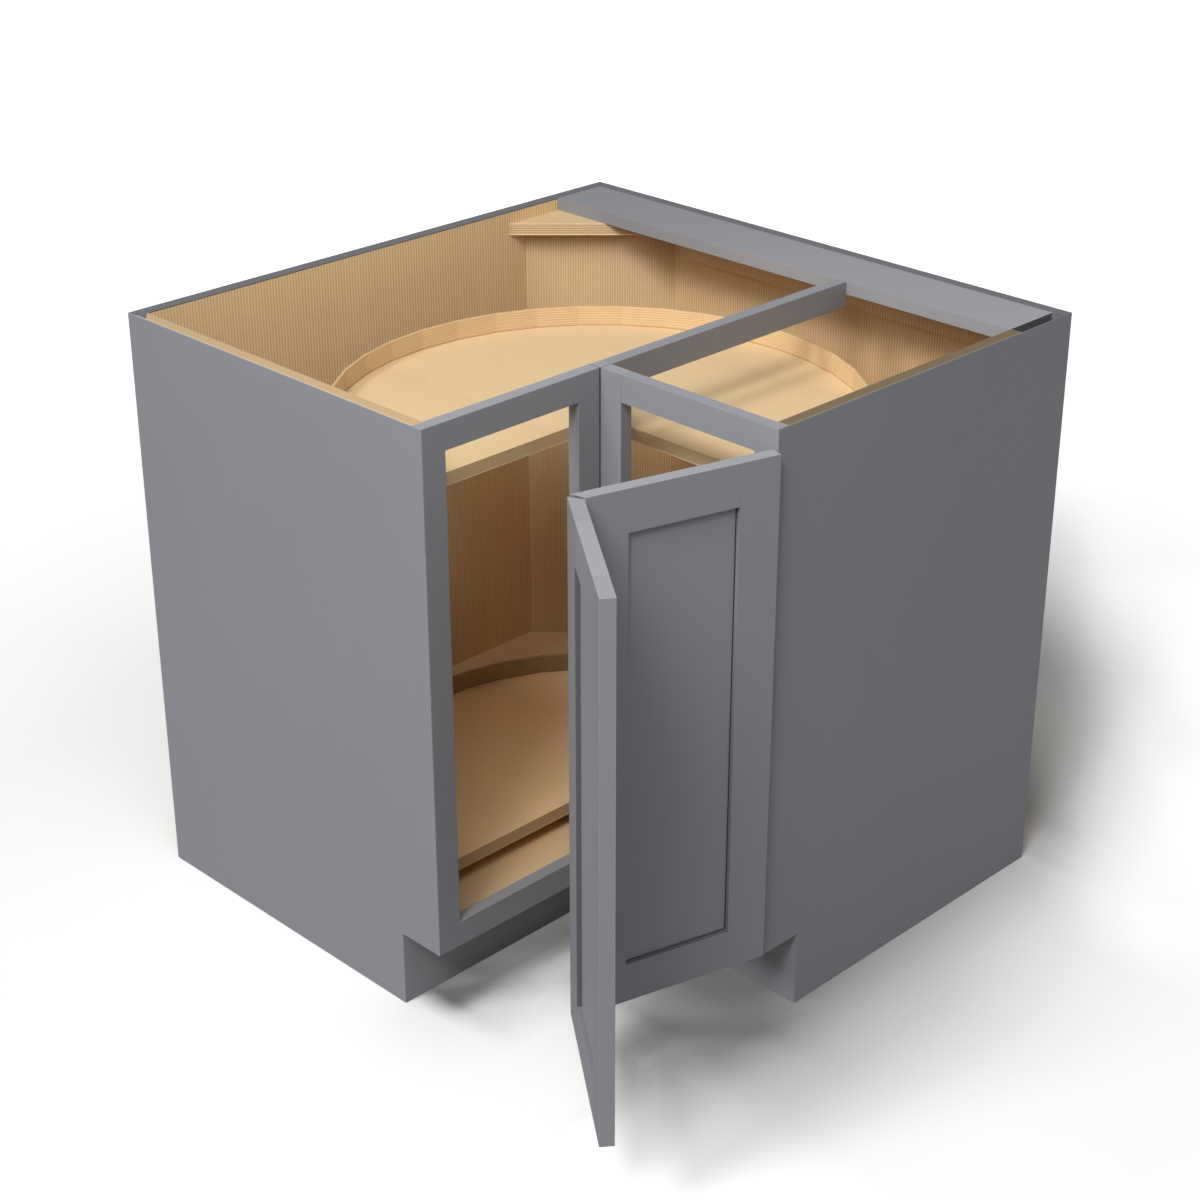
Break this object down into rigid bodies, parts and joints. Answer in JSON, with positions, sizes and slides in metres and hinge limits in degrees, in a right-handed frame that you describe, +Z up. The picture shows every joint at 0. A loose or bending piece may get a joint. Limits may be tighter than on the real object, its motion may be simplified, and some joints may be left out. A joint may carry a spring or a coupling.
{
  "type": "corner carousel cabinet",
  "caption": "L-shaped kitchen corner base cabinet, open at the top, with two pie-cut turning trays on a centre post and a bi-fold pair of grey frame-and-panel doors standing open.",
  "frame": {"origin": "the room corner at the floor, where the outer faces of the two back walls meet", "axes": "+X into the wall behind the right-hand run, +Y into the wall behind the left-hand run, +Z up; the cabinet lies at -X and -Y"},
  "size_m": [1.0537, 1.0635, 0.8763],
  "materials": {
    "grey_paint": "satin grey paint over wood, faint vertical grain",
    "maple_ply": "clear satin lacquer on maple veneer plywood",
    "maple_rim": "clear satin lacquer on kerf-bent maple plywood",
    "steel_zinc": "zinc-plated, satin",
    "steel_dark": "plated steel, satin",
    "polymer": "moulded acetal, matte"
  },
  "bodies": {
    "cabinet": {"side_left": "maple_ply", "skin_left": "grey_paint", "side_right": "maple_ply", "skin_right": "grey_paint", "wall_left": "maple_ply", "wall_right": "maple_ply", "wall_caps": "grey_paint", "nailer_left": "maple_ply", "nailer_right": "maple_ply", "diagonal_panel": "maple_ply", "corner_brace": "maple_ply", "top_rail_flat": "grey_paint", "stretcher": "grey_paint", "frame_left_outer_stile": "grey_paint", "frame_left_inner_stile": "grey_paint", "frame_left_top_rail": "grey_paint", "frame_left_bottom_rail": "grey_paint", "frame_right_outer_stile": "grey_paint", "frame_right_inner_stile": "grey_paint", "frame_right_top_rail": "grey_paint", "frame_right_bottom_rail": "grey_paint", "frame_corner_post": "grey_paint", "toe_kick_left": "grey_paint", "toe_kick_right": "grey_paint", "floor_panel": "maple_ply", "center_post": "steel_zinc", "post_foot": "steel_dark", "thrust_washers": "polymer", "upper_collar": "steel_dark", "collar_screw": "steel_zinc", "head_bracket": "steel_dark", "carousel_screws": "steel_zinc", "hinge_leaves_frame": "steel_zinc", "hinge_pins": "steel_dark", "hinge_screws_frame": "steel_zinc"},
    "door_a": {"door_a_hinge_stile": "grey_paint", "door_a_fold_stile": "grey_paint", "door_a_top_rail": "grey_paint", "door_a_bottom_rail": "grey_paint", "door_a_panel": "grey_paint", "hinge_leaves_door": "steel_zinc", "hinge_screws_door": "steel_zinc", "fold_leaf_a": "steel_zinc", "fold_pin": "steel_dark", "fold_screws_a": "steel_zinc"},
    "door_b": {"door_b_fold_stile": "grey_paint", "door_b_free_stile": "grey_paint", "door_b_top_rail": "grey_paint", "door_b_bottom_rail": "grey_paint", "door_b_panel": "grey_paint", "fold_leaf_b": "steel_zinc", "fold_screws_b": "steel_zinc"},
    "lower_tray": {"lower_tray_board": "maple_ply", "lower_tray_rim": "maple_rim", "lower_hub": "steel_dark", "lower_hub_screws": "steel_zinc"},
    "upper_tray": {"upper_tray_board": "maple_ply", "upper_tray_rim": "maple_rim", "upper_hub": "steel_dark", "upper_hub_screws": "steel_zinc"}
  },
  "joints": [
    {"name": "door_swing", "type": "hinge", "parent": "cabinet", "child": "door_a", "pos_m": [-0.60706, -0.90602, 0.455], "axis": [0, 0, 1], "range_deg": [-74.3, 30.7]},
    {"name": "door_fold", "type": "hinge", "parent": "door_a", "child": "door_b", "pos_m": [-0.88063, -0.85049, 0.48895], "axis": [0, 0, 1], "range_deg": [-8.95, 21.55]},
    {"name": "upper_tray_spin", "type": "hinge", "parent": "cabinet", "child": "upper_tray", "pos_m": [-0.51308, -0.51308, 0.748], "axis": [0, 0, 1], "range_deg": [-13, 13]},
    {"name": "lower_tray_spin", "type": "hinge", "parent": "cabinet", "child": "lower_tray", "pos_m": [-0.51308, -0.51308, 0.166], "axis": [0, 0, 1], "range_deg": [-13, 13]}
  ],
  "couplings": [
    {"joint": "door_fold", "follows": "door_swing", "ratio": -0.2894}
  ]
}
